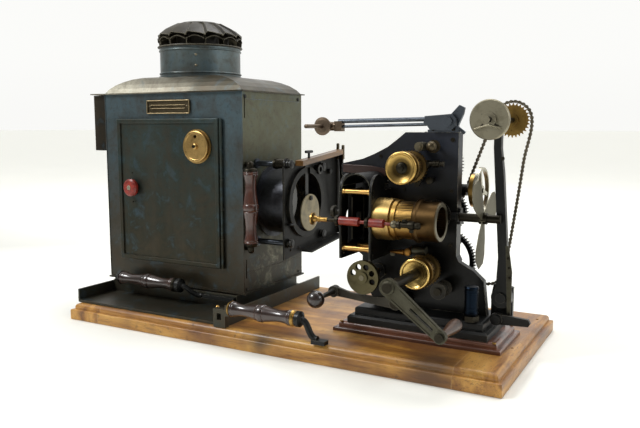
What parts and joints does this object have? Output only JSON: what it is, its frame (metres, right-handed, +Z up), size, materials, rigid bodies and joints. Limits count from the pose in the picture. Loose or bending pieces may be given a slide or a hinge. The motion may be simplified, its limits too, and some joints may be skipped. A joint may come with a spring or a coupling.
{
  "type": "magic lantern",
  "caption": "Magic-lantern lamphouse on a sliding carriage with a hand-cranked film head and chain take-up on one moulded baseboard.",
  "frame": {"origin": "centre of the baseboard's underside", "axes": "+X along the optical axis from lamphouse to lens, +Y away from the operator, +Z up"},
  "size_m": [0.83, 0.3757, 0.54],
  "materials": {
    "oak": "worn waxed oak",
    "mahogany": "french polished",
    "grip_wood": "turned and polished, dark red-brown",
    "sheet_steel": "blued sheet gone brown-black",
    "blued_steel": "blued",
    "black_iron": "stove enamelled black",
    "grey_steel": "dull grey",
    "bright_steel": "bright, a little tarnished",
    "brass": "lacquered",
    "old_brass": "tarnished",
    "glass": "polished",
    "red_fibre": "turned red fibre",
    "nickel": "worn nickel"
  },
  "bodies": {
    "base": {"baseboard": "oak", "board_cleats": "oak", "lantern_rails": "black_iron", "board_grip": "grip_wood", "board_grip_mounts": "black_iron", "plinth": "mahogany", "iron_base": "black_iron", "frame_plate": "black_iron", "rear_bridge": "black_iron", "frame_post": "blued_steel", "film_gate": "grey_steel", "gate_hood": "black_iron", "lens_jacket": "old_brass", "film_guides": "grey_steel", "shutter_bearing": "black_iron", "takeup_bracket": "black_iron", "reel_bracket": "blued_steel", "chain": "grey_steel"},
    "lamphouse": {"carriage": "sheet_steel", "lamphouse_shell": "sheet_steel", "lamphouse_roof": "sheet_steel", "chimney": "blued_steel", "cowl": "black_iron", "vent_box": "sheet_steel", "nameplate": "old_brass", "door_hinge": "sheet_steel", "lamphouse_grips": "grip_wood", "grip_mounts": "old_brass", "condenser_barrel": "black_iron", "condenser_lenses": "glass", "stage_rods": "blued_steel", "slide_stage": "black_iron", "stage_fittings": "oak", "burner": "old_brass"},
    "door": {"door": "sheet_steel"},
    "door_knob": {"door_knob": "red_fibre"},
    "sight_cover": {"sight_cover": "brass"},
    "dowser": {"dowser": "nickel"},
    "lens": {"lens_barrel": "brass", "lens_glasses": "glass", "focus_rod": "brass"},
    "upper_line": {"upper_sprocket": "old_brass", "upper_ring": "brass"},
    "crank": {"crank_shaft": "grey_steel", "lower_ring": "brass", "crank_arm": "grey_steel"},
    "crank_grip": {"crank_grip": "grip_wood"},
    "idler": {"idler_wheel": "black_iron"},
    "speed": {"speed_wheels": "grey_steel"},
    "beater": {"beater": "old_brass"},
    "shutter": {"shutter": "grey_steel"},
    "governor": {"governor": "brass"},
    "pressure_gate": {"pressure_gate": "bright_steel"},
    "framing_lever": {"framing_lever": "black_iron"},
    "guide_roller": {"guide_roller": "grey_steel"},
    "takeup_arm": {"takeup_arm": "black_iron"},
    "clamp_lever": {"clamp_lever": "black_iron"},
    "takeup_spindle": {"takeup_spindle": "grey_steel"},
    "reel_arm": {"reel_arm": "blued_steel"},
    "reel_spindle": {"reel_spindle": "bright_steel"}
  },
  "joints": [
    {"name": "lamphouse_slide", "type": "slide", "parent": "base", "child": "lamphouse", "axis": [0, 1, 0], "range_m": [-0.115, 0]},
    {"name": "door_swing", "type": "hinge", "parent": "lamphouse", "child": "door", "pos_m": [-0.1299, -0.0616, 0.097], "axis": [0, 0, 1], "range_deg": [0, 110]},
    {"name": "door_knob_turn", "type": "hinge", "parent": "door", "child": "door_knob", "pos_m": [-0.332, -0.059, 0.233], "axis": [0, 1, 0], "range_deg": [-90, 0]},
    {"name": "sight_cover_turn", "type": "hinge", "parent": "door", "child": "sight_cover", "pos_m": [-0.18, -0.059, 0.311], "axis": [0, 1, 0], "range_deg": [0, 150]},
    {"name": "dowser_swing", "type": "hinge", "parent": "lamphouse", "child": "dowser", "pos_m": [-0.015, 0.045, 0.219], "axis": [1, 0, 0], "range_deg": [-90, 90]},
    {"name": "focus_slide", "type": "slide", "parent": "base", "child": "lens", "axis": [1, 0, 0], "range_m": [-0.0015, 0.01]},
    {"name": "crank_turn", "type": "hinge", "parent": "base", "child": "crank", "pos_m": [0.241, 0, 0.133], "axis": [0, 1, 0], "continuous": true},
    {"name": "crank_grip_spin", "type": "hinge", "parent": "crank", "child": "crank_grip", "pos_m": [0.31428, -0.199, 0.07574], "axis": [0, 1, 0], "continuous": true},
    {"name": "upper_sprocket_spin", "type": "hinge", "parent": "base", "child": "upper_line", "pos_m": [0.217, 0, 0.286], "axis": [0, 1, 0], "continuous": true},
    {"name": "idler_spin", "type": "hinge", "parent": "base", "child": "idler", "pos_m": [0.24885, 0, 0.21261], "axis": [0, 1, 0], "continuous": true},
    {"name": "speed_spin", "type": "hinge", "parent": "base", "child": "speed", "pos_m": [0.17881, 0, 0.14813], "axis": [0, 1, 0], "continuous": true},
    {"name": "beater_spin", "type": "hinge", "parent": "base", "child": "beater", "pos_m": [0.155, 0, 0.118], "axis": [0, 1, 0], "continuous": true},
    {"name": "shutter_spin", "type": "hinge", "parent": "base", "child": "shutter", "pos_m": [0.322, -0.038, 0.21261], "axis": [1, 0, 0], "continuous": true},
    {"name": "governor_spin", "type": "hinge", "parent": "base", "child": "governor", "pos_m": [0.29, 0.02, 0.248], "axis": [1, 0, 0], "continuous": true},
    {"name": "pressure_gate_swing", "type": "hinge", "parent": "base", "child": "pressure_gate", "pos_m": [0.1372, -0.0545, 0.208], "axis": [0, 0, 1], "range_deg": [0, 45]},
    {"name": "framing_lever_tilt", "type": "hinge", "parent": "base", "child": "framing_lever", "pos_m": [0.206, -0.082, 0.082], "axis": [0, 1, 0], "range_deg": [-10, 10]},
    {"name": "guide_roller_spin", "type": "hinge", "parent": "base", "child": "guide_roller", "pos_m": [0.268, -0.06, 0.105], "axis": [0, 1, 0], "continuous": true},
    {"name": "takeup_arm_tilt", "type": "hinge", "parent": "base", "child": "takeup_arm", "pos_m": [0.35, -0.0245, 0.096], "axis": [0, 1, 0], "range_deg": [-3, 4], "deforming": ["chain"]},
    {"name": "clamp_lever_turn", "type": "hinge", "parent": "base", "child": "clamp_lever", "pos_m": [0.346, -0.038, 0.066], "axis": [0, 1, 0], "range_deg": [-40, 15]},
    {"name": "takeup_spin", "type": "hinge", "parent": "takeup_arm", "child": "takeup_spindle", "pos_m": [0.338, 0, 0.355], "axis": [0, 1, 0], "continuous": true},
    {"name": "reel_arm_fold", "type": "hinge", "parent": "base", "child": "reel_arm", "pos_m": [0.266, -0.036, 0.353], "axis": [0, 1, 0], "range_deg": [0, 100]},
    {"name": "reel_spindle_spin", "type": "hinge", "parent": "reel_arm", "child": "reel_spindle", "pos_m": [0.061, -0.06, 0.346], "axis": [0, 1, 0], "continuous": true}
  ],
  "couplings": [
    {"joint": "idler_spin", "follows": "crank_turn", "ratio": -1.7778},
    {"joint": "upper_sprocket_spin", "follows": "crank_turn", "ratio": 1},
    {"joint": "speed_spin", "follows": "crank_turn", "ratio": -4},
    {"joint": "beater_spin", "follows": "crank_turn", "ratio": 8},
    {"joint": "shutter_spin", "follows": "crank_turn", "ratio": 8},
    {"joint": "takeup_spin", "follows": "crank_turn", "ratio": 0.42857}
  ]
}
